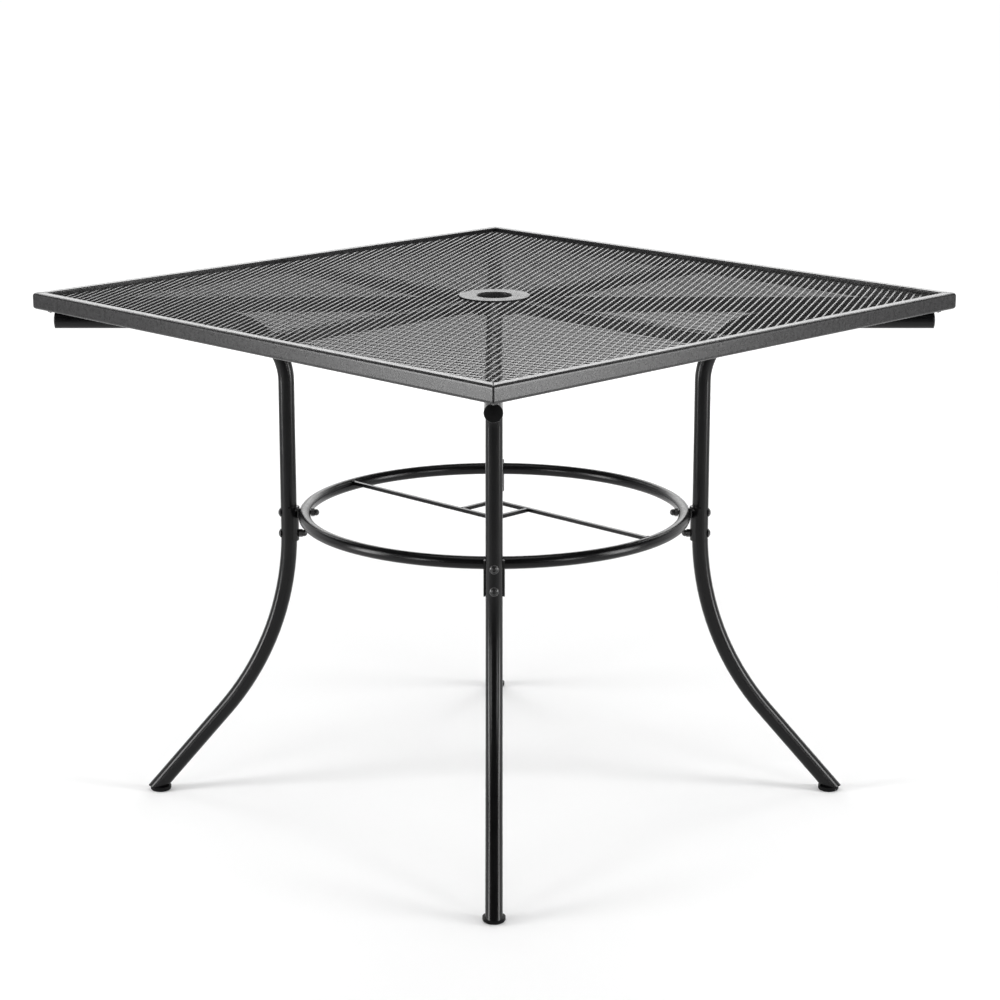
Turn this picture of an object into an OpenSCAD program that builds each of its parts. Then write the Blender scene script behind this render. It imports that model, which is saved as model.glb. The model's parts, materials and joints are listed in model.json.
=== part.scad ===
// Square garden table with an expanded metal top, four bent tube legs and a ring stretcher.
// Millimetres, +Z up. The origin is on the ground, under the centre of the top.
// +X points right and +Y points back. The legs stand on the two diagonals.

/* [Tabletop] */
// Outer side length of the square top
top_w = 900; // [800:10:1100]
// Height of the top rim above the ground
table_h = 724; // [660:2:780]
// Height of the rim tube
rail_h = 22.5; // [18:0.5:30]
// Width of the rim tube, seen from above
rail_w = 14.5; // [12:0.5:20]
// Rounding of the rim tube's outer edges
rail_edge_r = 4; // [2:0.5:5]
// Rounding of the rim tube's inner edges
rail_inner_edge_r = 1.5; // [1:0.5:3]
// Wall of the rim tube
rail_wall = 1.5; // [1:0.1:2]

/* [Mesh] */
// Depth of the mesh below the top rim
mesh_recess = 4.5; // [3:0.5:7]
// Thickness of the mesh sheet
mesh_t = 1.2; // [1:0.1:2]
// Diamonds in a row, across the table
mesh_cells_x = 15; // [10:1:15]
// Diamonds in a column, front to back
mesh_cells_y = 9; // [6:1:9]
// Width of a mesh strand
mesh_strand = 7; // [5:0.5:10]
// Width of the solid edge of the sheet
mesh_edge = 8; // [6:1:14]

/* [Frame under the mesh] */
// Outside diameter of the four diagonal tubes
brace_d = 21; // [18:0.5:25]
// Wall of the diagonal tubes
brace_wall = 1.5; // [1:0.1:2]
// Width of the four flat tubes that run to the middle of each side
bar_w = 22; // [16:0.5:24]
// Height of those flat tubes
bar_h = 14.5; // [12:0.5:18]
// Wall of those flat tubes
bar_wall = 1.5; // [1:0.1:2]
// Rounding of their long edges
bar_edge_r = 2; // [1:0.5:3]

/* [Umbrella hole] */
// Bore for the umbrella pole
hole_d = 48; // [38:1:52]
// Outside diameter of the cover plate
plate_d = 97; // [90:1:120]
// Overlap of the cover plate over the solid ring of the mesh sheet's edge
plate_lap = 2; // [1:0.5:4]
// Thickness of the cover plate
plate_t = 1.2; // [1:0.1:2]
// Depth of the plate's turned-down collar
collar_h = 14; // [10:1:20]
// Outside diameter of the sleeve that the frame tubes meet
sleeve_d = 64; // [64:1:72]
// Wall of that sleeve
sleeve_wall = 2.5; // [2:0.1:3]

/* [Legs] */
// Outside diameter of the leg tubes
leg_d = 22.5; // [20:0.5:25]
// Wall of the leg tubes
leg_wall = 1.5; // [1:0.1:2]
// Distance of a leg's upright part from the table's centre
leg_r = 289; // [260:1:300]
// Distance from the rim's corner inwards to the end of a leg's top arm
arm_end_inset = 31.5; // [20:0.5:60]
// Bend radius where a leg turns into its top arm
arm_bend_r = 85; // [60:5:110]
// Height at which a leg starts to splay out
knee_z = 385; // [340:5:400]
// Bend radius of the splay
knee_bend_r = 405; // [340:5:440]
// Slope of the foot, from the vertical
foot_angle = 40.4; // [32:0.2:44]

/* [Feet and caps] */
// Diameter of a foot glide
glide_d = 29.5; // [27:0.5:34]
// Height of a foot glide under the tube
glide_h = 7; // [6:0.5:9]
// Rounding of a glide's lower edge
glide_edge_r = 3.5; // [2:0.5:5]
// Distance of a glide's centre inwards from the centre of the tube's end
glide_inset = 3; // [0:0.5:4]
// Length of the stem that holds a glide in its tube
glide_stem = 22; // [16:1:30]
// Height of an end cap's dome
cap_dome = 2.5; // [1.5:0.5:5]
// Length of an end cap's plug inside the tube
cap_plug = 14; // [10:1:20]

/* [Ring stretcher] */
// Height of the ring's centre line
ring_z = 412; // [400:1:440]
// Outside diameter of the ring's tube
ring_d = 17; // [14:0.5:19]
// Wall of the ring's tube
ring_wall = 1.5; // [1:0.1:2]
// Thickness of a saddle bracket
bracket_t = 2.5; // [2:0.1:3]
// Height of a saddle bracket
bracket_h = 48.5; // [46:0.5:54]
// Distance of the bracket's upper edge above the ring's centre line
bracket_rise = 9; // [8:0.5:12]
// Drop from the ring bolt to the lower bracket bolt
bolt_drop = 30; // [24:1:32]
// Side of the square rods inside the ring
rod_s = 5; // [4:0.5:7]
// Distance between the two long rods, and between their two links
guide_pitch = 67; // [58:1:80]
// Height of the rods above the ring's centre line
rod_rise = 4; // [2:0.5:4.5]

/* [Fasteners] */
// Thread diameter of all bolts
bolt_d = 6; // [5:1:6]
// Diameter of a button head
head_d = 11.6; // [10:0.1:13]
// Height of a button head
head_h = 3.4; // [2.5:0.1:4]
// Hexagon socket across its flats
socket_af = 4; // [3:0.5:4]
// Hexagon nut across its flats
nut_af = 10; // [9:0.5:11]
// Height of a nut's hexagon
nut_hex_h = 5; // [4:0.5:6]
// Height of a nut's dome
nut_dome_h = 6.5; // [5:0.5:8]
// Outside diameter of a threaded insert
insert_d = 9; // [8:0.5:10]
// Length of a threaded insert
insert_h = 12; // [9:1:14]
// Distance of the outer arm bolt from the end of its arm
arm_bolt_end = 120; // [30:1:140]
// Distance of the inner arm bolt from the end of the arm's bend
arm_bolt_bend = 26; // [16:1:80]

/* [Fits] */
// Gap between curved parts that are welded or clamped together
seat_gap = 0.2; // [0.1:0.05:0.3]
// Extra diameter of a bolt hole over its bolt
hole_play = 0.6; // [0.4:0.1:1]
// Extra diameter of a nut's bore over the bolt
thread_play = 0.2; // [0.1:0.05:0.3]
// Gap between a plastic plug and the inside of its tube
plug_gap = 0.2; // [0.1:0.05:0.3]

/* [Hidden] */

$fn = 48;
// Length by which a cutting shape runs past what it cuts
past = 1;

// Directions of the sides and of the corners, anticlockwise from +X
front = -90;
right = 0;
back = 90;
left = 180;
front_right = -45;
back_right = 45;
back_left = 135;
front_left = 225;
corners = [front_right, back_right, back_left, front_left];

// Smallest rounding inside a rectangular tube
least_r = 0.5;

// Heights, from the rim down
inner_w = top_w - 2 * rail_w;
sheet_w = inner_w - 2 * seat_gap;
mesh_top_z = table_h - mesh_recess;
mesh_z = mesh_top_z - mesh_t;
frame_top_z = mesh_z - seat_gap;
brace_z = frame_top_z - brace_d / 2;
brace_bottom_z = frame_top_z - brace_d;
arm_z = brace_bottom_z - seat_gap - leg_d / 2;
arm_bottom_z = arm_z - leg_d / 2;

// Mesh pattern: two diamonds for each cell of the grid
cell_x = (inner_w - 2 * mesh_edge) / mesh_cells_x;
cell_y = (inner_w - 2 * mesh_edge) / mesh_cells_y;
cell_diagonal = sqrt(cell_x * cell_x + cell_y * cell_y);
gap_x = cell_x - mesh_strand * cell_diagonal / cell_y;
gap_y = cell_y - mesh_strand * cell_diagonal / cell_x;

// Umbrella hole
collar_d = hole_d + 2 * plate_t;
mesh_hole_d = collar_d + 4 * seat_gap;
mesh_ring_d = plate_d - 2 * plate_lap;

// Leg path, in the upright plane of one diagonal: x is the distance from the centre
leg_bore = leg_d - 2 * leg_wall;
arm_start_r = leg_r + arm_bend_r;
arm_end_r = top_w / 2 * sqrt(2) - arm_end_inset;
upright_top_z = arm_z - arm_bend_r;
upright_len = upright_top_z - knee_z;
knee_end_r = leg_r + knee_bend_r * (1 - cos(foot_angle));
knee_end_z = knee_z - knee_bend_r * sin(foot_angle);
foot_r = knee_end_r + (knee_end_z - glide_h) * tan(foot_angle);
foot_reach = (knee_end_z + leg_d) / cos(foot_angle);
glide_r = foot_r - glide_inset;
// The straight foot is this much slimmer than the bend, so that its end lies inside the bend
foot_step = 0.1;

// Ring stretcher: it touches the saddles, which touch the legs
leg_inner_r = leg_r - leg_d / 2;
saddle_inner_r = leg_inner_r - seat_gap - bracket_t;
ring_r = saddle_inner_r - seat_gap - ring_d / 2;
rod_z = ring_z + rod_rise;
rod_end = guide_pitch / 2 + rod_s / 2;
rod_start = sqrt(ring_r * ring_r - guide_pitch * guide_pitch / 4);

// Fasteners
head_rim = 0.5;
nut_shoulder = 0.8;
nut_rim = 1.5;
bolt_hole_d = bolt_d + hole_play;
saddle_bolt_z = ring_z - bolt_drop;
head_seat_r = leg_r + leg_d / 2 + seat_gap / 2;
ring_nut_r = ring_r - ring_d / 2 - seat_gap / 2;
saddle_nut_r = saddle_inner_r - seat_gap / 2;
nut_bore_h = nut_hex_h + nut_dome_h / 2;
thread_end_gap = 1;
ring_bolt_len = head_seat_r - ring_nut_r + nut_bore_h - thread_end_gap;
saddle_bolt_len = head_seat_r - saddle_nut_r + nut_bore_h - thread_end_gap;
arm_head_z = arm_bottom_z - seat_gap / 2;
arm_bolt_in_r = arm_start_r + arm_bolt_bend;
arm_bolt_out_r = arm_end_r - arm_bolt_end;
insert_z = brace_bottom_z;
arm_bolt_len = insert_z + insert_h - thread_end_gap - arm_head_z;

// Colours, as the object shows them
tube_black = [0.12, 0.12, 0.125];
rim_grey = [0.3, 0.3, 0.31];
mesh_grey = [0.42, 0.41, 0.42];
plate_grey = [0.62, 0.61, 0.61];
plastic_black = [0.05, 0.05, 0.05];
bolt_black = [0.1, 0.1, 0.11];

// Small shapes that several pieces share

// Half of a rectangle with round corners, from x = 0 towards +X
module half_rounded_rect(w, h, r) {
    translate([0, -h / 2])
        square([w / 2 - r, h]);
    translate([0, r - h / 2])
        square([w / 2, h - 2 * r]);
    for (y = [-1, 1])
        translate([w / 2 - r, y * (h / 2 - r)])
            circle(r = r);
}

// Section of a rectangular tube, centred, with its own rounding at +X and at -X
module box_tube_section(w, h, r_plus, r_minus, wall) {
    difference() {
        union() {
            half_rounded_rect(w, h, r_plus);
            mirror([1, 0])
                half_rounded_rect(w, h, r_minus);
        }
        half_rounded_rect(w - 2 * wall, h - 2 * wall, max(r_plus - wall, least_r));
        mirror([1, 0])
            half_rounded_rect(w - 2 * wall, h - 2 * wall, max(r_minus - wall, least_r));
    }
}

// Cylinder along +X that starts at x = 0
module rod_x(d, length) {
    rotate([0, 90, 0])
        cylinder(d = d, h = length);
}

// Dome on the plane z = 0 with a straight rim, as a turned solid
module dome(d, h, rim) {
    rise = h - rim;
    dome_r = (rise * rise + d * d / 4) / (2 * rise);
    rotate_extrude()
        intersection() {
            translate([0, h - dome_r])
                circle(r = dome_r, $fn = 96);
            square([d / 2, h]);
        }
}

// The path of a leg swept with a round section, for its outside and for its bore
module leg_sweep(d, end_past) {
    translate([arm_start_r, 0, upright_top_z]) {
        translate([0, 0, arm_bend_r])
            rod_x(d, arm_end_r - arm_start_r + end_past);
        rotate([90, 0, 0])
            rotate([0, 0, 90])
                rotate_extrude(angle = 90)
                    translate([arm_bend_r, 0])
                        circle(d = d);
        translate([-arm_bend_r, 0, -upright_len])
            cylinder(d = d, h = upright_len);
        translate([knee_bend_r - arm_bend_r, 0, -upright_len])
            rotate([90, 0, 0])
                rotate([0, 0, 180])
                    rotate_extrude(angle = foot_angle)
                        translate([knee_bend_r, 0])
                            circle(d = d);
    }
    translate([knee_end_r, 0, knee_end_z])
        rotate([0, 180 - foot_angle, 0])
            translate([0, 0, -past])
                cylinder(d = d - foot_step, h = foot_reach + past);
}

// Button head bolt along X: its head's flat face is at x = 0 and its thread points to -X
module button_bolt(length) {
    rotate([0, 90, 0])
        difference() {
            union() {
                dome(head_d, head_h, head_rim);
                translate([0, 0, -length])
                    cylinder(d = bolt_d, h = length + head_h / 4);
            }
            translate([0, 0, head_h / 3])
                cylinder(d = socket_af / cos(30), h = head_h, $fn = 6);
        }
}

// Domed nut along X: its flat face is at x = 0 and its dome points to -X
module dome_nut() {
    rotate([0, -90, 0])
        difference() {
            union() {
                cylinder(d = nut_af / cos(30), h = nut_hex_h, $fn = 6);
                translate([0, 0, nut_hex_h])
                    dome(nut_af - nut_shoulder, nut_dome_h, nut_rim);
            }
            translate([0, 0, -past])
                cylinder(d = bolt_d + thread_play, h = nut_bore_h + past);
        }
}

// Tabletop

// One side of the rim: a rectangular tube with mitred ends
module rail(direction) {
    half = top_w / 2;
    inner = inner_w / 2;
    color(rim_grey)
        rotate([0, 0, direction])
            intersection() {
                translate([half - rail_w / 2, half, table_h - rail_h / 2])
                    rotate([90, 0, 0])
                        linear_extrude(top_w)
                            box_tube_section(rail_w, rail_h, rail_edge_r, rail_inner_edge_r, rail_wall);
                translate([0, 0, table_h - rail_h - past])
                    linear_extrude(rail_h + 2 * past)
                        polygon([[inner, -inner], [half, -half], [half, half], [inner, inner]]);
            }
}

// Positions of the diamond gaps: the corners and the middles of the grid's cells
function grid_points(shift) = [
    for (i = [0 : mesh_cells_x - shift])
        for (j = [0 : mesh_cells_y - shift])
            [(i + shift / 2 - mesh_cells_x / 2) * cell_x, (j + shift / 2 - mesh_cells_y / 2) * cell_y]
];

// One diamond gap, from its half width and half length
module diamond(x, y) {
    polygon([[x, 0], [0, y], [-x, 0], [0, -y]]);
}

// Flat sheet of diamond gaps, with a solid edge and a solid ring under the cover plate
module mesh_panel() {
    open_w = inner_w - 2 * mesh_edge;
    color(mesh_grey)
        translate([0, 0, mesh_z])
            linear_extrude(mesh_t)
                difference() {
                    square(sheet_w, center = true);
                    difference() {
                        intersection() {
                            square(open_w, center = true);
                            for (shift = [0, 1])
                                for (p = grid_points(shift))
                                    translate(p)
                                        diamond(gap_x / 2, gap_y / 2);
                        }
                        circle(d = mesh_ring_d);
                    }
                    circle(d = mesh_hole_d);
                }
}

// Round tube from the sleeve into one corner of the rim, cut to fit both rails
module brace(direction) {
    reach = inner_w / 2 * sqrt(2);
    color(tube_black)
        intersection() {
            rotate([0, 0, direction])
                difference() {
                    translate([0, 0, brace_z])
                        rod_x(brace_d, reach);
                    translate([0, 0, brace_z])
                        rod_x(brace_d - 2 * brace_wall, reach + past);
                    translate([0, 0, brace_bottom_z - past])
                        cylinder(d = sleeve_d + 2 * seat_gap, h = brace_d + 2 * past);
                    for (r = [arm_bolt_in_r, arm_bolt_out_r])
                        translate([r, 0, brace_bottom_z - past])
                            cylinder(d = insert_d + seat_gap, h = brace_d / 2);
                }
            translate([0, 0, brace_bottom_z - past])
                linear_extrude(brace_d + 2 * past)
                    square(sheet_w, center = true);
        }
}

// Flat tube from the sleeve to the middle of one side
module cross_bar(direction) {
    color(tube_black)
        rotate([0, 0, direction])
            difference() {
                translate([0, 0, frame_top_z - bar_h / 2])
                    rotate([90, 0, 90])
                        linear_extrude(inner_w / 2 - seat_gap)
                            box_tube_section(bar_w, bar_h, bar_edge_r, bar_edge_r, bar_wall);
                translate([0, 0, frame_top_z - bar_h - past])
                    cylinder(d = sleeve_d + 2 * seat_gap, h = bar_h + 2 * past);
                for (side = [-1, 1])
                    rotate([0, 0, side * 45])
                        translate([0, 0, brace_z])
                            rod_x(brace_d + 2 * seat_gap, inner_w / 4);
            }
}

// Upright sleeve in the middle, which the frame tubes are welded to
module hub_sleeve() {
    color(tube_black)
        translate([0, 0, brace_bottom_z])
            difference() {
                cylinder(d = sleeve_d, h = brace_d);
                translate([0, 0, -past])
                    cylinder(d = sleeve_d - 2 * sleeve_wall, h = brace_d + 2 * past);
            }
}

// Cover plate on the mesh, with a collar that turns down through the hole
module umbrella_plate() {
    bend_r = 2 * plate_t;
    straight_h = collar_h - bend_r;
    color(plate_grey)
        translate([0, 0, mesh_top_z + seat_gap + plate_t])
            rotate_extrude() {
                translate([hole_d / 2 + bend_r, -plate_t])
                    square([(plate_d - hole_d) / 2 - bend_r, plate_t]);
                translate([hole_d / 2, -collar_h])
                    square([plate_t, straight_h]);
                translate([hole_d / 2 + bend_r, -bend_r])
                    intersection() {
                        difference() {
                            circle(r = bend_r);
                            circle(r = bend_r - plate_t);
                        }
                        translate([-bend_r, 0])
                            square(bend_r);
                    }
            }
}

// Legs

// One bent tube: top arm, upright and splayed foot, cut level above the glide
module leg(direction) {
    color(tube_black)
        rotate([0, 0, direction])
            difference() {
                leg_sweep(leg_d, 0);
                leg_sweep(leg_bore, past);
                translate([0, -leg_d, glide_h - 4 * leg_d])
                    cube([top_w, 2 * leg_d, 4 * leg_d]);
                for (z = [ring_z, saddle_bolt_z])
                    translate([leg_r - leg_d, 0, z])
                        rod_x(bolt_hole_d, 2 * leg_d);
                for (r = [arm_bolt_in_r, arm_bolt_out_r])
                    translate([r, 0, arm_z - leg_d])
                        cylinder(d = bolt_hole_d, h = 2 * leg_d);
            }
}

// Domed cap in the open end of a leg's arm
module arm_cap(direction) {
    color(plastic_black)
        rotate([0, 0, direction])
            translate([arm_end_r + seat_gap, 0, arm_z])
                rotate([0, 90, 0]) {
                    dome(leg_d, cap_dome, cap_dome / 3);
                    translate([0, 0, -cap_plug])
                        cylinder(d = leg_bore - 2 * plug_gap, h = cap_plug + cap_dome / 4);
                }
}

// Sloping stem of a glide, cut level at its lower end
module glide_stem_solid() {
    intersection() {
        translate([foot_r, 0, glide_h])
            rotate([0, -foot_angle, 0])
                translate([0, 0, -glide_stem])
                    cylinder(d = leg_bore - foot_step - 2 * plug_gap, h = 2 * glide_stem);
        translate([foot_r - 2 * glide_d, -glide_d, glide_h - 2 * seat_gap])
            cube([4 * glide_d, 2 * glide_d, 2 * glide_stem]);
    }
}

// Round glide under a foot, with a stem inside the sloping tube
module glide(direction) {
    pad_h = glide_h - seat_gap;
    color(plastic_black)
        rotate([0, 0, direction]) {
            translate([glide_r, 0, 0])
                rotate_extrude() {
                    square([glide_d / 2 - glide_edge_r, pad_h]);
                    translate([0, glide_edge_r])
                        square([glide_d / 2, pad_h - glide_edge_r]);
                    translate([glide_d / 2 - glide_edge_r, glide_edge_r])
                        intersection() {
                            circle(r = glide_edge_r);
                            translate([0, -glide_edge_r])
                                square(glide_edge_r);
                        }
                }
            glide_stem_solid();
        }
}

// Ring stretcher

// Solid ring of round section, used for the tube and for what fits against it
module ring_solid(d) {
    translate([0, 0, ring_z])
        rotate_extrude($fn = 144)
            translate([ring_r, 0])
                circle(d = d, $fn = 48);
}

// Ring tube with a bolt hole at each leg
module ring_stretcher() {
    color(tube_black)
        difference() {
            ring_solid(ring_d);
            ring_solid(ring_d - 2 * ring_wall);
            for (direction = corners)
                rotate([0, 0, direction])
                    translate([ring_r - ring_d, 0, ring_z])
                        rod_x(bolt_hole_d, 2 * ring_d);
        }
}

// Half-round saddle between a leg and the ring
module saddle(direction) {
    bore = leg_d + 2 * seat_gap;
    bottom_z = ring_z + bracket_rise - bracket_h;
    color(tube_black)
        rotate([0, 0, direction])
            difference() {
                translate([leg_r, 0, bottom_z])
                    cylinder(d = bore + 2 * bracket_t, h = bracket_h);
                translate([leg_r, 0, bottom_z - past])
                    cylinder(d = bore, h = bracket_h + 2 * past);
                translate([leg_r, -leg_d, bottom_z - past])
                    cube([leg_d, 2 * leg_d, bracket_h + 2 * past]);
                for (z = [ring_z, saddle_bolt_z])
                    translate([leg_r - leg_d, 0, z])
                        rod_x(bolt_hole_d, leg_d);
            }
}

// Long square rod from the ring past the pole guide: side is -1 for left and 1 for right
module guide_rod(side) {
    x = side > 0 ? -rod_end : -rod_start;
    color(tube_black)
        difference() {
            translate([x, side * guide_pitch / 2 - rod_s / 2, rod_z - rod_s / 2])
                cube([rod_start + rod_end, rod_s, rod_s]);
            ring_solid(ring_d + 2 * seat_gap);
        }
}

// Short square rod between the two long ones, which closes the pole guide
module guide_link(side) {
    color(tube_black)
        translate([side * guide_pitch / 2 - rod_s / 2, -guide_pitch / 2 + rod_s / 2, rod_z - rod_s / 2])
            cube([rod_s, guide_pitch - rod_s, rod_s]);
}

// Fasteners

// Bolts through leg, saddle and ring
module ring_bolts() {
    color(bolt_black)
        for (direction = corners)
            rotate([0, 0, direction])
                translate([head_seat_r, 0, ring_z])
                    button_bolt(ring_bolt_len);
}

// Domed nuts inside the ring
module ring_nuts() {
    color(bolt_black)
        for (direction = corners)
            rotate([0, 0, direction])
                translate([ring_nut_r, 0, ring_z])
                    dome_nut();
}

// Bolts through leg and saddle
module saddle_bolts() {
    color(bolt_black)
        for (direction = corners)
            rotate([0, 0, direction])
                translate([head_seat_r, 0, saddle_bolt_z])
                    button_bolt(saddle_bolt_len);
}

// Domed nuts behind the saddles
module saddle_nuts() {
    color(bolt_black)
        for (direction = corners)
            rotate([0, 0, direction])
                translate([saddle_nut_r, 0, saddle_bolt_z])
                    dome_nut();
}

// Bolts from below through each leg's arm into its diagonal tube
module arm_bolts() {
    color(bolt_black)
        for (direction = corners)
            for (r = [arm_bolt_in_r, arm_bolt_out_r])
                rotate([0, 0, direction])
                    translate([r, 0, arm_head_z])
                        rotate([0, 90, 0])
                            button_bolt(arm_bolt_len);
}

// Threaded inserts in the underside of the diagonal tubes
module arm_inserts() {
    color(bolt_black)
        for (direction = corners)
            for (r = [arm_bolt_in_r, arm_bolt_out_r])
                rotate([0, 0, direction])
                    translate([r, 0, insert_z])
                        difference() {
                            cylinder(d = insert_d, h = insert_h);
                            translate([0, 0, -past])
                                cylinder(d = bolt_d + thread_play, h = insert_h + 2 * past);
                        }
}

rail(front);  // rail_front
rail(right);  // rail_right
rail(back);  // rail_back
rail(left);  // rail_left
mesh_panel();
brace(front_right);  // brace_front_right
brace(back_right);  // brace_back_right
brace(back_left);  // brace_back_left
brace(front_left);  // brace_front_left
cross_bar(front);  // cross_bar_front
cross_bar(right);  // cross_bar_right
cross_bar(back);  // cross_bar_back
cross_bar(left);  // cross_bar_left
hub_sleeve();
umbrella_plate();
leg(front_right);  // leg_front_right
leg(back_right);  // leg_back_right
leg(back_left);  // leg_back_left
leg(front_left);  // leg_front_left
arm_cap(front_right);  // arm_cap_front_right
arm_cap(back_right);  // arm_cap_back_right
arm_cap(back_left);  // arm_cap_back_left
arm_cap(front_left);  // arm_cap_front_left
glide(front_right);  // glide_front_right
glide(back_right);  // glide_back_right
glide(back_left);  // glide_back_left
glide(front_left);  // glide_front_left
ring_stretcher();
saddle(front_right);  // saddle_front_right
saddle(back_right);  // saddle_back_right
saddle(back_left);  // saddle_back_left
saddle(front_left);  // saddle_front_left
guide_rod(-1);  // guide_rod_left
guide_rod(1);  // guide_rod_right
guide_link(-1);  // guide_link_left
guide_link(1);  // guide_link_right
ring_bolts();
ring_nuts();
saddle_bolts();
saddle_nuts();
arm_bolts();
arm_inserts();
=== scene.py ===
"""Square mesh garden table: fine mesh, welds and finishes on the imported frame, in metres."""

import json
import math

import bmesh
import bpy
import numpy as np
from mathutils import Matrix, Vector, noise as vnoise


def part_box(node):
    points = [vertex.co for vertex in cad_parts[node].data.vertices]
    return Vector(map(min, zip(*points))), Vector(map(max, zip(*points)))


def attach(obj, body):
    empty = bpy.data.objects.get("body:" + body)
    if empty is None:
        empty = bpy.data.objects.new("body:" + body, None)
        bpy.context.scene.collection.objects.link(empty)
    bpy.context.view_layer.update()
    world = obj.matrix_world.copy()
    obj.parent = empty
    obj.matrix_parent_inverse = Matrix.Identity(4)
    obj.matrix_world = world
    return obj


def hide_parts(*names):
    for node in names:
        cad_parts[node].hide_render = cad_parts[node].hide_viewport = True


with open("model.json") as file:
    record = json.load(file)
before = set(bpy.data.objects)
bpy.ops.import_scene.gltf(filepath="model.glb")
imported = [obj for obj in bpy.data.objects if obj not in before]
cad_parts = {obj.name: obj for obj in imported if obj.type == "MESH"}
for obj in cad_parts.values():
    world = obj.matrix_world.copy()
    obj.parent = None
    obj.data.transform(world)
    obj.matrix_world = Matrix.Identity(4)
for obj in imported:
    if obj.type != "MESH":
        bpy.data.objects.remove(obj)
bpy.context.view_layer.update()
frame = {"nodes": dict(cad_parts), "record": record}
nodes = frame["nodes"]


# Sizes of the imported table: the top's two heights from the frame, the rest as in the part's source

TOP_W = 0.900
RAIL_W = 0.0145
RAIL_H = 0.0225
RAIL_EDGE = 0.004
RAIL_INNER_EDGE = 0.0015
RAIL_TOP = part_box("rail_front")[1].z
MESH_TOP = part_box("mesh_panel")[1].z
INNER = TOP_W / 2 - RAIL_W

LEG_D = 0.0225
RING_R = 0.26635
RING_Z = 0.412
BOLT_DROP = 0.030
BOLT_HEAD_AT = 0.30035
BOLT_HEAD_R = 0.0057
ROD_AT = 0.0335
ROD_TOP = 0.4185
BRACE_Z = 0.7076
BRACE_R = 0.0105
BAR_BOTTOM = 0.7036
BAR_HALF = 0.011
BARS_TOP = 0.7181
HUB_R = 0.032
ARM_Z = 0.68565
ARM_END_AT = 0.6049

CORNERS = (-45, 45, 135, 225)
SIDES = (0, 90, 180, 270)


# Materials

CLOUD_LOW = 0.3
CLOUD_HIGH = 0.7
SPECK_LOW = 0.25
SPECK_HIGH = 0.75
SPECK_TONE = 0.72
BUMP_PER_GRAIN = 0.3


def new_material(name):
    """An empty node material with its output."""
    material = bpy.data.materials.new(name)
    material.use_nodes = True
    material.node_tree.nodes.clear()
    out = material.node_tree.nodes.new("ShaderNodeOutputMaterial")
    return material, material.node_tree, out


def noise(tree, coord, scale, detail, rough):
    """Noise factor in object coordinates, with scale in features per metre."""
    texture = tree.nodes.new("ShaderNodeTexNoise")
    texture.inputs["Scale"].default_value = scale
    texture.inputs["Detail"].default_value = detail
    texture.inputs["Roughness"].default_value = rough
    tree.links.new(coord, texture.inputs["Vector"])
    return texture.outputs["Fac"]


def ramp(tree, fac, low, high):
    """Colour ramp between two (position, colour) stops."""
    node = tree.nodes.new("ShaderNodeValToRGB")
    for element, (position, color) in zip(node.color_ramp.elements, (low, high)):
        element.position = position
        element.color = (*color, 1)
    tree.links.new(fac, node.inputs["Fac"])
    return node.outputs["Color"]


def multiply_colors(tree, a, b):
    """Product of two colours."""
    node = tree.nodes.new("ShaderNodeMix")
    node.data_type = "RGBA"
    node.blend_type = "MULTIPLY"
    node.inputs["Factor"].default_value = 1.0
    tree.links.new(a, node.inputs[6])
    tree.links.new(b, node.inputs[7])
    return node.outputs[2]


def paint(name, dark, light, rough, spread, spec, grain, grain_size, cloud_size):
    """Sprayed or powder coat finish: cloudy colour and gloss, with a fine grain in colour and bump."""
    material, tree, out = new_material(name)
    coord = tree.nodes.new("ShaderNodeTexCoord").outputs["Object"]
    shader = tree.nodes.new("ShaderNodeBsdfPrincipled")
    shader.inputs["Specular IOR Level"].default_value = spec
    cloud = noise(tree, coord, 1 / cloud_size, detail=4.0, rough=0.6)
    fine = noise(tree, coord, 1 / grain_size, detail=2.0, rough=0.5)
    base = ramp(tree, cloud, (CLOUD_LOW, dark), (CLOUD_HIGH, light))
    speck = ramp(tree, fine, (SPECK_LOW, (SPECK_TONE,) * 3), (SPECK_HIGH, (1, 1, 1)))
    tree.links.new(multiply_colors(tree, base, speck), shader.inputs["Base Color"])
    gloss = tree.nodes.new("ShaderNodeMapRange")
    gloss.inputs["From Min"].default_value = CLOUD_LOW
    gloss.inputs["From Max"].default_value = CLOUD_HIGH
    gloss.inputs["To Min"].default_value = rough - spread
    gloss.inputs["To Max"].default_value = rough + spread
    tree.links.new(cloud, gloss.inputs["Value"])
    tree.links.new(gloss.outputs["Result"], shader.inputs["Roughness"])
    bump = tree.nodes.new("ShaderNodeBump")
    bump.inputs["Strength"].default_value = grain
    bump.inputs["Distance"].default_value = grain_size * BUMP_PER_GRAIN
    tree.links.new(fine, bump.inputs["Height"])
    tree.links.new(bump.outputs["Normal"], shader.inputs["Normal"])
    tree.links.new(shader.outputs["BSDF"], out.inputs["Surface"])
    return material


def tube_paint():
    """Gloss black of the tubes, the saddles, the rods and the sleeve."""
    return paint("tube_paint", dark=(0.0022, 0.0022, 0.0025), light=(0.0042, 0.0041, 0.0045),
                 rough=0.24, spread=0.03, spec=0.25, grain=0.2, grain_size=0.0008, cloud_size=0.03)


def rim_paint():
    """Dark grey of the rim, with small clouds."""
    return paint("rim_paint", dark=(0.009, 0.0088, 0.0093), light=(0.022, 0.0214, 0.0223),
                 rough=0.28, spread=0.03, spec=0.42, grain=0.2, grain_size=0.0011, cloud_size=0.006)


def mesh_paint():
    """Dark grey of the mesh and of the spots that weld it down."""
    return paint("mesh_paint", dark=(0.016, 0.0156, 0.016), light=(0.025, 0.0244, 0.025),
                 rough=0.26, spread=0.03, spec=0.42, grain=0.25, grain_size=0.0007, cloud_size=0.02)


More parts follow.
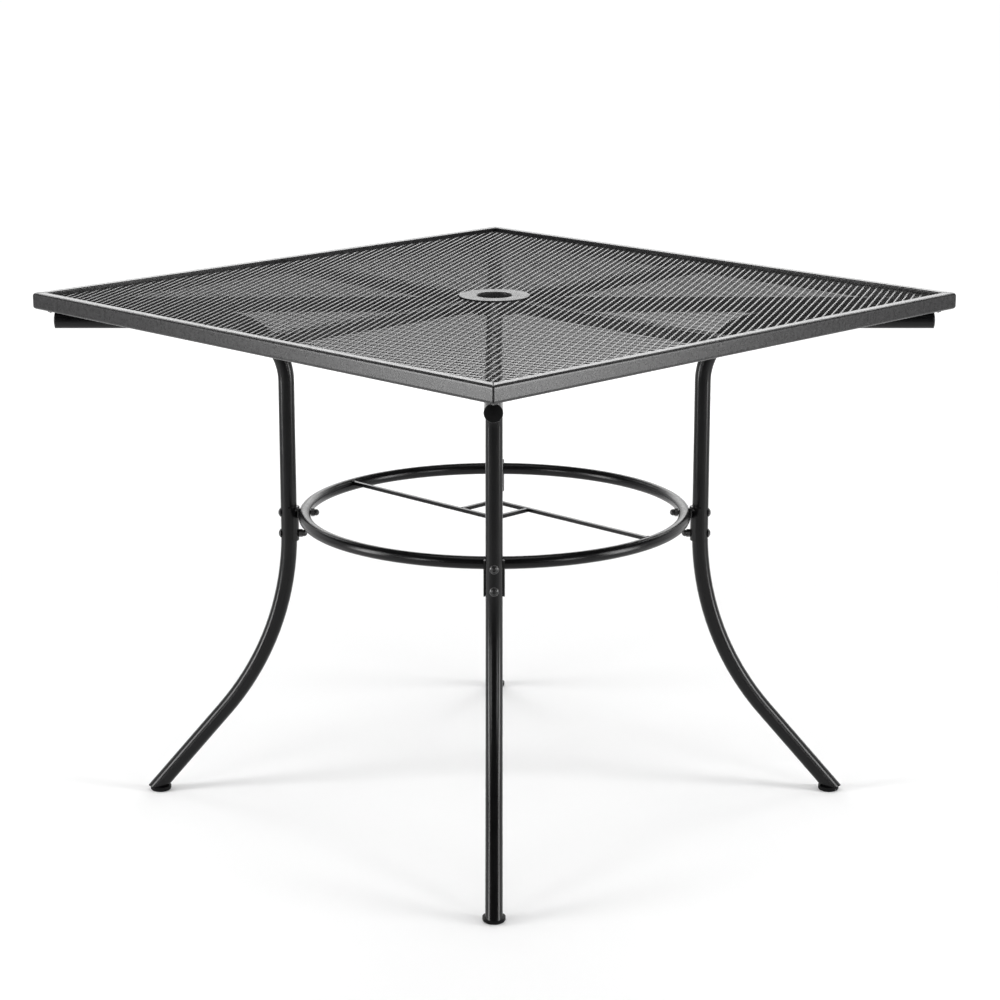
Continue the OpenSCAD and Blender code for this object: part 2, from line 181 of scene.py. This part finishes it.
def plate_paint():
    """Duller grey of the cover plate."""
    return paint("plate_paint", dark=(0.022, 0.0217, 0.022), light=(0.034, 0.0335, 0.034),
                 rough=0.30, spread=0.04, spec=0.12, grain=0.3, grain_size=0.0008, cloud_size=0.012)


def black_plastic():
    """Matt black of the caps and glides."""
    return paint("black_plastic", dark=(0.002, 0.002, 0.0022), light=(0.0032, 0.0031, 0.0033),
                 rough=0.45, spread=0.05, spec=0.12, grain=0.5, grain_size=0.0006, cloud_size=0.01)


def bolt_steel():
    """Blackened steel of the bolts, nuts and inserts."""
    return paint("bolt_steel", dark=(0.010, 0.010, 0.0105), light=(0.018, 0.0175, 0.018),
                 rough=0.26, spread=0.04, spec=0.5, grain=0.2, grain_size=0.0005, cloud_size=0.004)


def painted_edge_highlight():
    """Lighter grey on the thin lips of the caps and bolt heads: a painted highlight of their light rims."""
    return paint("painted_edge_highlight", dark=(0.05, 0.05, 0.051), light=(0.12, 0.118, 0.119),
                 rough=0.34, spread=0.05, spec=0.5, grain=0.3, grain_size=0.0005, cloud_size=0.003)


def weld_paint():
    """Painted weld, rougher than the tube beside it."""
    return paint("weld_paint", dark=(0.012, 0.012, 0.013), light=(0.03, 0.029, 0.03),
                 rough=0.3, spread=0.06, spec=0.5, grain=0.4, grain_size=0.0006, cloud_size=0.003)


MATERIAL_OF = {
    "rim_paint": rim_paint(), "mesh_paint": mesh_paint(), "tube_paint": tube_paint(),
    "plate_paint": plate_paint(), "black_plastic": black_plastic(), "bolt_steel": bolt_steel(),
}
weld_mat = weld_paint()
# Lighter colour for the lips: painted highlight on the edges of the caps and bolt heads
highlight_edge_mat = painted_edge_highlight()

slot_of = {s["node"]: s["material_slot"] for s in frame["record"]["subparts"]}
for name, obj in nodes.items():
    obj.data.materials.clear()
    obj.data.materials.append(MATERIAL_OF[slot_of[name]])


# Expanded metal: flat crossings, and strands between them whose +X edge dips, as a die leaves them

ROWS_X = 80
ROWS_Y = 45
PAST_RIM = 2
DIAMOND_X = 2 * INNER / ROWS_X
DIAMOND_Y = 2 * INNER / ROWS_Y
STRAND_W = 0.0018
CROSSING_T = 0.0012
DIP = 0.0006
DIP_AT = (0.12, 0.88)
HUB_CUT = 0.033

# Unevenness of the sheet: its depth, where it fades out, and its waves in radians per metre
UNEVEN = 0.00006
RIM_FADE = 0.06
HUB_FLAT = 0.05
HUB_FADE = 0.08
SHORT_WAVE = (23.0, 19.0)
LONG_WAVE = (9.0, 13.0)
LONG_SHARE = 0.6
WAVE_STARTS = (1.3, -0.7, 0.4)


def mesh_height(x, y):
    """Gentle unevenness of the sheet, zero at the rim and at the cover plate."""
    edge = np.clip((INNER - np.maximum(np.abs(x), np.abs(y))) / RIM_FADE, 0, 1)
    hub = np.clip((np.hypot(x, y) - HUB_FLAT) / HUB_FADE, 0, 1)
    short = np.sin(x * SHORT_WAVE[0] + WAVE_STARTS[0]) * np.cos(y * SHORT_WAVE[1] + WAVE_STARTS[1])
    long = np.sin(x * LONG_WAVE[0] - y * LONG_WAVE[1] + WAVE_STARTS[2])
    wave = (short + LONG_SHARE * long) / (1 + LONG_SHARE)
    return -UNEVEN * (1 - wave) * edge * hub


def crossing_grid():
    """Column and row of each crossing, past the rim on all sides and clear of the umbrella hole."""
    columns = range(-ROWS_X - PAST_RIM, ROWS_X + PAST_RIM + 1)
    rows = range(-ROWS_Y - PAST_RIM, ROWS_Y + PAST_RIM + 1)
    return {(i, j) for i in columns for j in rows
            if (i + j) % 2 and math.hypot(i * DIAMOND_X / 2, j * DIAMOND_Y / 2) > HUB_CUT}


def uncut_sheet():
    """Points and faces of the sheet before it is cut to size, with its top at height 0."""
    diagonal = math.hypot(DIAMOND_X, DIAMOND_Y)
    half_x = STRAND_W * diagonal / DIAMOND_Y / 2
    half_y = STRAND_W * diagonal / DIAMOND_X / 2
    offsets = {"L": (-half_x, 0, 0), "F": (0, -half_y, 0), "R": (half_x, 0, 0),
               "B": (0, half_y, 0), "D": (half_x, 0, -CROSSING_T)}
    crossings = crossing_grid()
    index = {}
    verts = []
    faces = []

    def vert(key, x, y, z):
        """Number of the point with this key, made when it is first asked for."""
        if key not in index:
            index[key] = len(verts)
            verts.append((x, y, z))
        return index[key]

    def corner(c, side):
        """Corner of a crossing: L, F, R or B of its flat top, or D, the low point under R."""
        dx, dy, z = offsets[side]
        return vert((c, side), c[0] * DIAMOND_X / 2 + dx, c[1] * DIAMOND_Y / 2 + dy, z)

    def strand(c, d, start, end):
        """Strand from crossing c to d: start and end name its corners on the -X and on the +X edge."""
        high = corner(c, start[0])
        high_end = corner(d, end[0])
        edge = corner(c, start[1])
        edge_end = corner(d, end[1])
        dip = []
        for t in DIP_AT:
            x, y = (verts[edge][k] + (verts[edge_end][k] - verts[edge][k]) * t for k in (0, 1))
            dip.append(vert((c, d, t), x, y, -DIP))
        low = corner(c, "D")
        low_end = corner(d, "D")
        faces.append((high, edge, dip[0]))
        faces.append((high, dip[0], dip[1], high_end))
        faces.append((high_end, dip[1], edge_end))
        faces.append((edge, dip[0], dip[1], edge_end, low_end, low))
        faces.append((high, high_end, low_end, low))

    for c in sorted(crossings):
        i, j = c
        faces.append(tuple(corner(c, s) for s in "LFRB"))
        up_left = (i - 1, j + 1)
        up_right = (i + 1, j + 1)
        down_right = (i + 1, j - 1)
        down_left = (i - 1, j - 1)
        if up_left in crossings:
            strand(c, up_left, "LB", "FR")
        if up_right in crossings:
            strand(c, up_right, "BR", "LF")
        # A strand that isn't there leaves a three-sided hole in the crossing
        ends = ((up_left, "LBD"), (up_right, "BRD"), (down_right, "RFD"), (down_left, "FLD"))
        for other, sides in ends:
            if other not in crossings:
                faces.append(tuple(corner(c, s) for s in sides))
    return verts, faces


def cut_to_rim(me):
    """Cuts the sheet square at the inner faces of the rim and closes the cut strands."""
    bm = bmesh.new()
    bm.from_mesh(me)
    bmesh.ops.recalc_face_normals(bm, faces=bm.faces)
    for normal in ((1, 0, 0), (-1, 0, 0), (0, 1, 0), (0, -1, 0)):
        edge = Vector(normal) * INNER
        parts = bm.verts[:] + bm.edges[:] + bm.faces[:]
        bmesh.ops.bisect_plane(bm, geom=parts, plane_co=edge, plane_no=normal, clear_outer=True)
        bmesh.ops.holes_fill(bm, edges=[e for e in bm.edges if e.is_boundary], sides=0)
    bmesh.ops.recalc_face_normals(bm, faces=bm.faces)
    bm.to_mesh(me)
    bm.free()


def lay_on_frame(me):
    """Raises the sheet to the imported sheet's top, with its slight unevenness."""
    count = len(me.vertices)
    co = np.empty(count * 3)
    me.vertices.foreach_get("co", co)
    co = co.reshape(count, 3)
    co[:, 2] += MESH_TOP + mesh_height(co[:, 0], co[:, 1])
    me.vertices.foreach_set("co", co.ravel())
    me.update()


def expanded_metal():
    """One closed mesh of the whole sheet, cut square at the rim and round at the hole."""
    verts, faces = uncut_sheet()
    me = bpy.data.meshes.new("expanded_metal")
    me.from_pydata(verts, [], faces)
    cut_to_rim(me)
    lay_on_frame(me)
    me.materials.append(MATERIAL_OF["mesh_paint"])
    obj = bpy.data.objects.new("expanded_metal", me)
    bpy.context.scene.collection.objects.link(obj)
    return obj


sheet = expanded_metal()
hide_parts("mesh_panel")
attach(sheet, "root")


# Rim: the same tubes with the rounded ends that leave a groove at each mitre

MITRE_R = 0.0019
MITRE_ANGLES = (0, 22, 42, 60, 76, 90)
FLAT_BAND = 0.0004
CORNER_STEPS = 7
SMALLEST_R = 0.0003
RIM_SHARP_ANGLE = 35


def piece(name, verts, faces, material, slot, sharp=None):
    """One smooth-shaded piece of the table, riding on its only body."""
    me = bpy.data.meshes.new(name)
    me.from_pydata(verts, [], faces)
    bm = bmesh.new()
    bm.from_mesh(me)
    bmesh.ops.recalc_face_normals(bm, faces=bm.faces)
    bm.to_mesh(me)
    bm.free()
    me.shade_smooth()
    if sharp:
        me.set_sharp_from_angle(angle=math.radians(sharp))
    me.materials.append(material)
    obj = bpy.data.objects.new(name, me)
    bpy.context.scene.collection.objects.link(obj)
    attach(obj, "root")
    return obj


def rail_section(inset):
    """Outline of a rim tube, as (distance in from the outer face, height), shrunk by an inset."""
    bottom = RAIL_TOP - RAIL_H
    corners = ((RAIL_W, RAIL_TOP, RAIL_INNER_EDGE, 0), (0, RAIL_TOP, RAIL_EDGE, 90),
               (0, bottom, RAIL_EDGE, 180), (RAIL_W, bottom, RAIL_INNER_EDGE, 270))
    outline = []
    for across, up, radius, start in corners:
        inward = -1 if across else 1
        upward = -1 if up == RAIL_TOP else 1
        r = max(radius - inset, SMALLEST_R)
        cx = across + inward * (r + inset)
        cz = up + upward * (r + inset)
        for k in range(-1, CORNER_STEPS + 2):
            # The first and the last point lie on the flats beside the arc and keep them flat
            step = min(max(k, 0), CORNER_STEPS)
            angle = math.radians(start + 90 * step / CORNER_STEPS)
            past = FLAT_BAND * (max(k - CORNER_STEPS, 0) - max(-k, 0))
            cos = math.cos(angle)
            sin = math.sin(angle)
            outline.append((cx + r * cos - past * sin, cz + r * sin + past * cos))
    return outline


def rim_rail(turn):
    """One rim tube: its sections shrink on a quarter circle towards both mitres."""
    steps = [MITRE_R * (1 - math.cos(math.radians(a))) for a in MITRE_ANGLES] + [MITRE_R + FLAT_BAND]
    stations = [(-1, t) for t in steps] + [(1, t) for t in reversed(steps)]
    verts = []
    for end, t in stations:
        inset = MITRE_R - math.sqrt(MITRE_R ** 2 - max(MITRE_R - t, 0) ** 2)
        for across, z in rail_section(inset):
            x = end * (TOP_W / 2 - across - t)
            y = across - TOP_W / 2
            for _ in range(turn):
                x, y = -y, x
            verts.append((x, y, z))
    around = len(rail_section(0))
    last = len(stations) - 1
    faces = []
    for k in range(last):
        for i in range(around):
            j = (i + 1) % around
            faces.append((k * around + i, k * around + j, (k + 1) * around + j, (k + 1) * around + i))
    faces.append(tuple(range(around)))
    faces.append(tuple(range(last * around, (last + 1) * around)))
    return verts, faces


for turn, side in enumerate(("front", "right", "back", "left")):
    verts, faces = rim_rail(turn)
    rail = piece("rim_tube_" + side, verts, faces, MATERIAL_OF["rim_paint"], "rim_paint", RIM_SHARP_ANGLE)
    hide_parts("rail_" + side)


# Welds and the thin edges of caps and bolt heads

# Every bead: spacing and count of its points, its blunt ends, its ripple and its lumps
BEAD_STEP = 0.0011
BEAD_SIDES = 8
BEAD_END = 2.2
BEAD_BLUNT = 0.35
RIPPLE = 0.13
RIPPLE_PACE = 2.1
LUMPS = 0.25
LUMPS_PER_METRE = 420

# Saddles to the ring
SEAM_AT = 0.2756
SEAM_HALF = 0.0058
SEAM_RISE = 0.0075
SEAM_BEAD_R = 0.0017
SHOULDER_BEAD_R = 0.0016
SHOULDER = ((0.2748, 0.0060, 0.4190), (0.2795, 0.0118, 0.4175))

# Diagonal tubes to the rails and the sleeve
TOP_BEAD_R = 0.0012
RAIL_SEAM_IN = 0.0007
RAIL_SEAM_LOW = 0.0022
RAIL_SEAM_HIGH = BRACE_R - 0.0001
HUB_SEAM_OUT = 0.0006
HUB_SEAM_ANGLES = (5, 175)
RAIL_SEAM_POINTS = 11
HUB_SEAM_POINTS = 14

# Flat tubes to the rails
BAR_BEAD_R = 0.0014
BAR_SEAM_IN = 0.0008
BAR_SEAM_SIDE = BAR_HALF + 0.0004
BAR_SEAM_UNDER = BAR_HALF - 0.0015
BAR_SEAM_TOP = 0.7165
BAR_SEAM_LOW = 0.7045
BAR_SEAM_BOTTOM = BAR_BOTTOM - 0.0003

# Rods to the ring, and links to the rods
ROD_BEAD_R = 0.0015
ROD_SEAM_AT = RING_R - 0.0075
ROD_SEAM_HALF = 0.0036
ROD_SEAM_FLAT = 0.002
ROD_SEAM_LOW = 0.4165
ROD_SEAM_TOP = ROD_TOP + 0.0002
LINK_BEAD_R = 0.0009
LINK_SEAM_HALF = 0.0026
LINK_SEAM_END = ROD_AT - 0.0027
LINK_SEAM_Z = ROD_TOP - 0.0002

# Mesh to the diagonal and flat tubes
SPOT_BEAD_R = 0.0013
SPOT_HALF = 0.0022
SPOT_UP = 0.0004
SPOT_RADII = (0.09, 0.19, 0.29, 0.39)
SPOKE_ANGLES = range(0, 360, 45)

# Thin lips at the edges of the caps and the bolt heads, lighter in colour as a painted highlight
LIP_STEPS = 48
LIP_SIDES = 8
CAP_LIP_R = LEG_D / 2 - 0.0003
CAP_LIP_T = 0.0006
CAP_LIP_OUT = 0.0004
HEAD_LIP_T = 0.0005
HEAD_LIP_OUT = 0.0005


def bead_end(k):
    """Share of its full thickness that a bead has at step k from its end."""
    return math.sin(math.pi * min(1, (k + BEAD_BLUNT) / BEAD_END) / 2)


def bead(mesh, path, r):
    """Weld bead: a lumpy tube along a path, with rounded ends."""
    verts, faces = mesh
    path = [Vector(point) for point in path]
    length = sum((b - a).length for a, b in zip(path, path[1:]))
    count = max(4, int(length / BEAD_STEP))
    centres = []
    seg = 0
    used = 0.0
    for k in range(count + 1):
        want = length * k / count
        while seg < len(path) - 2 and used + (path[seg + 1] - path[seg]).length < want:
            used += (path[seg + 1] - path[seg]).length
            seg += 1
        step = path[seg + 1] - path[seg]
        centres.append(path[seg] + step * min(1, (want - used) / step.length))
    base = len(verts)
    for k, centre in enumerate(centres):
        ahead = (centres[min(k + 1, count)] - centres[max(k - 1, 0)]).normalized()
        side = ahead.orthogonal().normalized()
        up = ahead.cross(side)
        end = bead_end(k) * bead_end(count - k)
        ripple = 1 + RIPPLE * math.sin(k * RIPPLE_PACE) + LUMPS * vnoise.noise(centre * LUMPS_PER_METRE)
        for i in range(BEAD_SIDES):
            turn = 2 * math.pi * i / BEAD_SIDES
            verts.append(centre + (side * math.cos(turn) + up * math.sin(turn)) * r * end * ripple)
    for k in range(count):
        here = base + k * BEAD_SIDES
        for i in range(BEAD_SIDES):
            j = (i + 1) % BEAD_SIDES
            faces.append((here + i, here + j, here + BEAD_SIDES + j, here + BEAD_SIDES + i))
    faces.append(tuple(range(base, base + BEAD_SIDES)))
    faces.append(tuple(range(base + count * BEAD_SIDES, base + (count + 1) * BEAD_SIDES)))


def ring_edge(mesh, centre, axis, major, minor):
    """Thin round lip about an axis."""
    verts, faces = mesh
    axis = Vector(axis).normalized()
    side = axis.orthogonal().normalized()
    up = axis.cross(side)
    base = len(verts)
    for i in range(LIP_STEPS):
        turn = 2 * math.pi * i / LIP_STEPS
        radial = side * math.cos(turn) + up * math.sin(turn)
        for k in range(LIP_SIDES):
            roll = 2 * math.pi * k / LIP_SIDES
            outward = radial * (major + minor * math.cos(roll))
            verts.append(Vector(centre) + outward + axis * minor * math.sin(roll))
    for i in range(LIP_STEPS):
        here = base + i * LIP_SIDES
        there = base + (i + 1) % LIP_STEPS * LIP_SIDES
        for k in range(LIP_SIDES):
            j = (k + 1) % LIP_SIDES
            faces.append((here + k, here + j, there + j, there + k))


def turned(point, degrees):
    """Point turned about the table's upright axis."""
    x, y, z = point
    cos = math.cos(math.radians(degrees))
    sin = math.sin(math.radians(degrees))
    return (x * cos - y * sin, x * sin + y * cos, z)


def bead_at(mesh, path, degrees, r):
    """Weld bead along a path that is turned about the table's upright axis."""
    bead(mesh, [turned(point, degrees) for point in path], r)


def spaced(low, high, count):
    """Evenly spaced numbers from low to high."""
    return [low + (high - low) * k / (count - 1) for k in range(count)]


def saddle_welds(mesh, corner):
    """Saddle to ring, in the wedge on each side and over the ring's top."""
    for side in (-1, 1):
        wedge = [(SEAM_AT, side * SEAM_HALF, RING_Z + rise) for rise in (-SEAM_RISE, 0, SEAM_RISE)]
        bead_at(mesh, wedge, corner, SEAM_BEAD_R)
        bead_at(mesh, [(x, side * y, z) for x, y, z in SHOULDER], corner, SHOULDER_BEAD_R)


def brace_at_rail(side, w):
    """Point of the seam under a diagonal tube and against a rail, at w from the tube's middle line."""
    reach = (INNER - RAIL_SEAM_IN) * math.sqrt(2) - w
    return (reach, side * w, BRACE_Z - math.sqrt(max(BRACE_R ** 2 - w ** 2, 0)))


def brace_at_hub(angle):
    """Point of the seam under a diagonal tube and against the sleeve."""
    out = BRACE_R * math.cos(math.radians(angle))
    reach = math.sqrt((HUB_R + HUB_SEAM_OUT) ** 2 - out ** 2)
    return (reach, out, BRACE_Z - BRACE_R * math.sin(math.radians(angle)))


def brace_welds(mesh, corner):
    """Diagonal tube to the two rails and to the sleeve."""
    for side in (-1, 1):
        path = [brace_at_rail(side, w) for w in spaced(RAIL_SEAM_LOW, RAIL_SEAM_HIGH, RAIL_SEAM_POINTS)]
        bead_at(mesh, path, corner, TOP_BEAD_R)
    path = [brace_at_hub(angle) for angle in spaced(*HUB_SEAM_ANGLES, HUB_SEAM_POINTS)]
    bead_at(mesh, path, corner, TOP_BEAD_R)


def bar_weld(mesh, side):
    """Flat tube to the rail: down one side, under it and up the other side."""
    half = [(BAR_SEAM_SIDE, BAR_SEAM_TOP), (BAR_SEAM_SIDE, BAR_SEAM_LOW), (BAR_SEAM_UNDER, BAR_SEAM_BOTTOM)]
    outline = [(-y, z) for y, z in half] + half[::-1]
    bead_at(mesh, [(INNER - BAR_SEAM_IN, y, z) for y, z in outline], side, BAR_BEAD_R)


def rod_welds(mesh, side):
    """Rod to the ring, over the rod's top, and the links to the rod."""
    middle = side * ROD_AT
    outline = ((-ROD_SEAM_HALF, ROD_SEAM_LOW), (-ROD_SEAM_FLAT, ROD_SEAM_TOP),
               (ROD_SEAM_FLAT, ROD_SEAM_TOP), (ROD_SEAM_HALF, ROD_SEAM_LOW))
    bead(mesh, [(side * ROD_SEAM_AT, middle + y, z) for y, z in outline], ROD_BEAD_R)
    for end in (-1, 1):
        ends = [(middle + x, end * LINK_SEAM_END, LINK_SEAM_Z) for x in (-LINK_SEAM_HALF, LINK_SEAM_HALF)]
        bead(mesh, ends, LINK_BEAD_R)


def weld_beads():
    """All weld beads as one piece."""
    mesh = ([], [])
    for corner in CORNERS:
        saddle_welds(mesh, corner)
        brace_welds(mesh, corner)
    for side in SIDES:
        bar_weld(mesh, side)
    for side in (-1, 1):
        rod_welds(mesh, side)
    piece("weld_beads", *mesh, weld_mat, "tube_paint")


def mesh_spot_welds():
    """Short welds of the mesh on the diagonal and flat tubes, as one piece."""
    mesh = ([], [])
    for angle in SPOKE_ANGLES:
        for radius in SPOT_RADII:
            reach = radius if angle in SIDES else radius * math.sqrt(2)
            path = [(reach, y, BARS_TOP + SPOT_UP) for y in (-SPOT_HALF, SPOT_HALF)]
            bead_at(mesh, path, angle, SPOT_BEAD_R)
    piece("mesh_spot_welds", *mesh, MATERIAL_OF["mesh_paint"], "mesh_paint")


def edge_lips():
    """Lips round the arms' caps and the bolt heads, as one piece, in a lighter colour that paints a
    highlight on their edges.
    """
    mesh = ([], [])
    for corner in CORNERS:
        axis = turned((1, 0, 0), corner)
        cap = turned((ARM_END_AT + CAP_LIP_OUT, 0, ARM_Z), corner)
        ring_edge(mesh, cap, axis, CAP_LIP_R, CAP_LIP_T)
        for z in (RING_Z, RING_Z - BOLT_DROP):
            head = turned((BOLT_HEAD_AT + HEAD_LIP_OUT, 0, z), corner)
            ring_edge(mesh, head, axis, BOLT_HEAD_R, HEAD_LIP_T)
    piece("edge_lips", *mesh, highlight_edge_mat, "bolt_steel")


weld_beads()
mesh_spot_welds()
edge_lips()


# Stage, light and camera

VIEW = Vector((-1, 1, 0)).normalized()
RIGHT = Vector((1, 1, 0)).normalized()

# Floor: its size, its tone, its glow, and over which distances the glow and its mirror image grow
FLOOR_HALF = 30.0
FLOOR_TONE = 0.94
GLOW = 0.74
GLOW_AT_TABLE = 0.08
GLOW_GROWS = (0.9, 4.2)
MIRROR_STARTS = (0.8, 2.6)

# World: its fill, what metal mirrors in front, and where the white wall behind begins and ends
FILL = 0.3
MIRROR_FRONT = 0.08
WALL_TURNS = (-0.25, 0.55)
WALL_FADES = (0.32, 0.48)

# Lamps: how wide they shine, in degrees, and what they face
BEAM = 115
FULL_BEAM = 180
TABLE_TOP = (0, 0, 0.7)
TABLE_MIDDLE = (0, 0, 0.6)

# Camera: solved from the photo, with its focal length in the photo's pixels
PHOTO_W = 1000
FOCAL_PIXELS = 2679.1
SENSOR_W = 36.0
CAMERA_AT = (2.5833, -2.5725, 1.3442)
CAMERA_DOWN = 14.08
NEAREST_SEEN = 0.05
FARTHEST_SEEN = 100


def math_node(tree, operation, a, b):
    """Result of an operation on a socket and a second socket or number."""
    node = tree.nodes.new("ShaderNodeMath")
    node.operation = operation
    tree.links.new(a, node.inputs[0])
    if isinstance(b, float):
        node.inputs[1].default_value = b
    else:
        tree.links.new(b, node.inputs[1])
    return node.outputs[0]


def smooth_step(tree, value, limits, start=0.0, end=1.0):
    """Smooth change from start to end while a value passes between two limits."""
    node = tree.nodes.new("ShaderNodeMapRange")
    node.interpolation_type = "SMOOTHSTEP"
    node.inputs["From Min"].default_value = limits[0]
    node.inputs["From Max"].default_value = limits[1]
    node.inputs["To Min"].default_value = start
    node.inputs["To Max"].default_value = end
    tree.links.new(value, node.inputs["Value"])
    return node.outputs["Result"]


def along_view(tree, vector):
    """How far a vector reaches in the direction behind the table."""
    node = tree.nodes.new("ShaderNodeVectorMath")
    node.operation = "DOT_PRODUCT"
    tree.links.new(vector, node.inputs[0])
    node.inputs[1].default_value = VIEW
    return node.outputs["Value"]


def distance(tree, vector):
    """Length of a vector."""
    node = tree.nodes.new("ShaderNodeVectorMath")
    node.operation = "LENGTH"
    tree.links.new(vector, node.inputs[0])
    return node.outputs["Value"]


def mirror_rays(tree, path):
    """1 for what metal mirrors or glass lets through, 0 for the rest."""
    return math_node(tree, "MAXIMUM", path.outputs["Is Glossy Ray"], path.outputs["Is Transmission Ray"])


def floor_white():
    """White floor: lit by the lamps round the table, with a glow that only takes over far from it."""
    material, tree, out = new_material("floor_white")
    diffuse = tree.nodes.new("ShaderNodeBsdfDiffuse")
    diffuse.inputs["Color"].default_value = (FLOOR_TONE, FLOOR_TONE, FLOOR_TONE, 1)
    path = tree.nodes.new("ShaderNodeLightPath")
    place = tree.nodes.new("ShaderNodeTexCoord").outputs["Object"]
    behind = smooth_step(tree, along_view(tree, place), MIRROR_STARTS)
    mirrored = math_node(tree, "MULTIPLY", mirror_rays(tree, path), behind)
    far = smooth_step(tree, distance(tree, place), GLOW_GROWS, start=GLOW_AT_TABLE)
    lit = math_node(tree, "MULTIPLY", path.outputs["Is Camera Ray"], far)
    seen = math_node(tree, "MAXIMUM", lit, mirrored)
    glow = tree.nodes.new("ShaderNodeEmission")
    tree.links.new(math_node(tree, "MULTIPLY", seen, GLOW), glow.inputs["Strength"])
    both = tree.nodes.new("ShaderNodeAddShader")
    tree.links.new(diffuse.outputs[0], both.inputs[0])
    tree.links.new(glow.outputs[0], both.inputs[1])
    tree.links.new(both.outputs[0], out.inputs["Surface"])
    return material


def stage_floor():
    """Plain pale floor that takes the object's soft shadow."""
    me = bpy.data.meshes.new("floor")
    half = FLOOR_HALF
    corners = [(-half, -half, 0), (half, -half, 0), (half, half, 0), (-half, half, 0)]
    me.from_pydata(corners, [], [(0, 1, 2, 3)])
    me.materials.append(floor_white())
    obj = bpy.data.objects.new("floor", me)
    bpy.context.scene.collection.objects.link(obj)


def white_world():
    """White for camera rays, a low white wall behind the table for mirror rays, and a plain grey fill."""
    world = bpy.data.worlds.new("studio")
    bpy.context.scene.world = world
    world.use_nodes = True
    tree = world.node_tree
    tree.nodes.clear()
    out = tree.nodes.new("ShaderNodeOutputWorld")
    background = tree.nodes.new("ShaderNodeBackground")
    background.inputs["Color"].default_value = (1, 1, 1, 1)
    path = tree.nodes.new("ShaderNodeLightPath")
    direction = tree.nodes.new("ShaderNodeTexCoord").outputs["Generated"]
    behind = smooth_step(tree, along_view(tree, direction), WALL_TURNS)
    height = tree.nodes.new("ShaderNodeSeparateXYZ")
    tree.links.new(direction, height.inputs[0])
    low = smooth_step(tree, height.outputs["Z"], WALL_FADES, start=1.0, end=0.0)
    wall = math_node(tree, "MULTIPLY", behind, low)
    shown = math_node(tree, "MAXIMUM", wall, MIRROR_FRONT)
    fill = tree.nodes.new("ShaderNodeMix")
    fill.inputs["A"].default_value = FILL
    tree.links.new(mirror_rays(tree, path), fill.inputs["Factor"])
    tree.links.new(shown, fill.inputs["B"])
    strength = math_node(tree, "MAXIMUM", path.outputs["Is Camera Ray"], fill.outputs["Result"])
    tree.links.new(strength, background.inputs["Strength"])
    tree.links.new(background.outputs[0], out.inputs["Surface"])


def softbox(name, across, back, up, target, width, height, watts, beam):
    """Rectangular lamp, placed across and back as seen in the photo, that faces the target."""
    lamp = bpy.data.lights.new(name, "AREA")
    lamp.shape = "RECTANGLE"
    lamp.size = width
    lamp.size_y = height
    lamp.energy = watts
    lamp.spread = math.radians(beam)
    obj = bpy.data.objects.new(name, lamp)
    place = Vector((0, 0, up)) + RIGHT * across + VIEW * back
    obj.location = place
    obj.rotation_mode = "QUATERNION"
    obj.rotation_quaternion = (Vector(target) - place).to_track_quat("-Z", "Y")
    obj.visible_camera = False
    bpy.context.scene.collection.objects.link(obj)


def studio_light():
    """Tall boxes at both sides, small ones in front, and wide ones above and behind."""
    softbox("box_left", -2.6, -0.74, 0.92, TABLE_MIDDLE, width=0.7, height=1.72, watts=23, beam=BEAM)
    softbox("box_right", 2.6, -0.74, 0.92, TABLE_MIDDLE, width=0.7, height=1.72, watts=22, beam=BEAM)
    softbox("box_front_left", -2.0, -2.3, 1.0, TABLE_MIDDLE, width=0.5, height=1.2, watts=7, beam=BEAM)
    softbox("box_front_right", 2.0, -2.3, 1.0, TABLE_MIDDLE, width=0.5, height=1.2, watts=7, beam=BEAM)
    softbox("box_top", 0, 0, 3.2, TABLE_TOP, width=1.8, height=1.8, watts=24, beam=FULL_BEAM)
    softbox("box_back", 0, 3.2, 1.65, TABLE_TOP, width=3.4, height=0.9, watts=24, beam=FULL_BEAM)
    softbox("box_back_left", -2.2, 2.6, 2.9, TABLE_TOP, width=1.2, height=0.8, watts=16, beam=FULL_BEAM)
    softbox("box_back_right", 2.2, 2.6, 2.9, TABLE_TOP, width=1.2, height=0.8, watts=16, beam=FULL_BEAM)


def photo_camera():
    """Camera at the photo's viewing angle and distance."""
    cam_data = bpy.data.cameras.new("camera")
    cam_data.sensor_fit = "HORIZONTAL"
    cam_data.sensor_width = SENSOR_W
    cam_data.lens = SENSOR_W * FOCAL_PIXELS / PHOTO_W
    cam_data.clip_start = NEAREST_SEEN
    cam_data.clip_end = FARTHEST_SEEN
    cam = bpy.data.objects.new("camera", cam_data)
    bpy.context.scene.collection.objects.link(cam)
    pitch = math.radians(CAMERA_DOWN)
    look = (VIEW * math.cos(pitch) - Vector((0, 0, math.sin(pitch)))).normalized()
    cam.location = CAMERA_AT
    cam.rotation_mode = "QUATERNION"
    cam.rotation_quaternion = look.to_track_quat("-Z", "Y")
    return cam


stage_floor()
white_world()
studio_light()
bpy.context.scene.camera = photo_camera()
bpy.context.scene.view_settings.view_transform = "Standard"
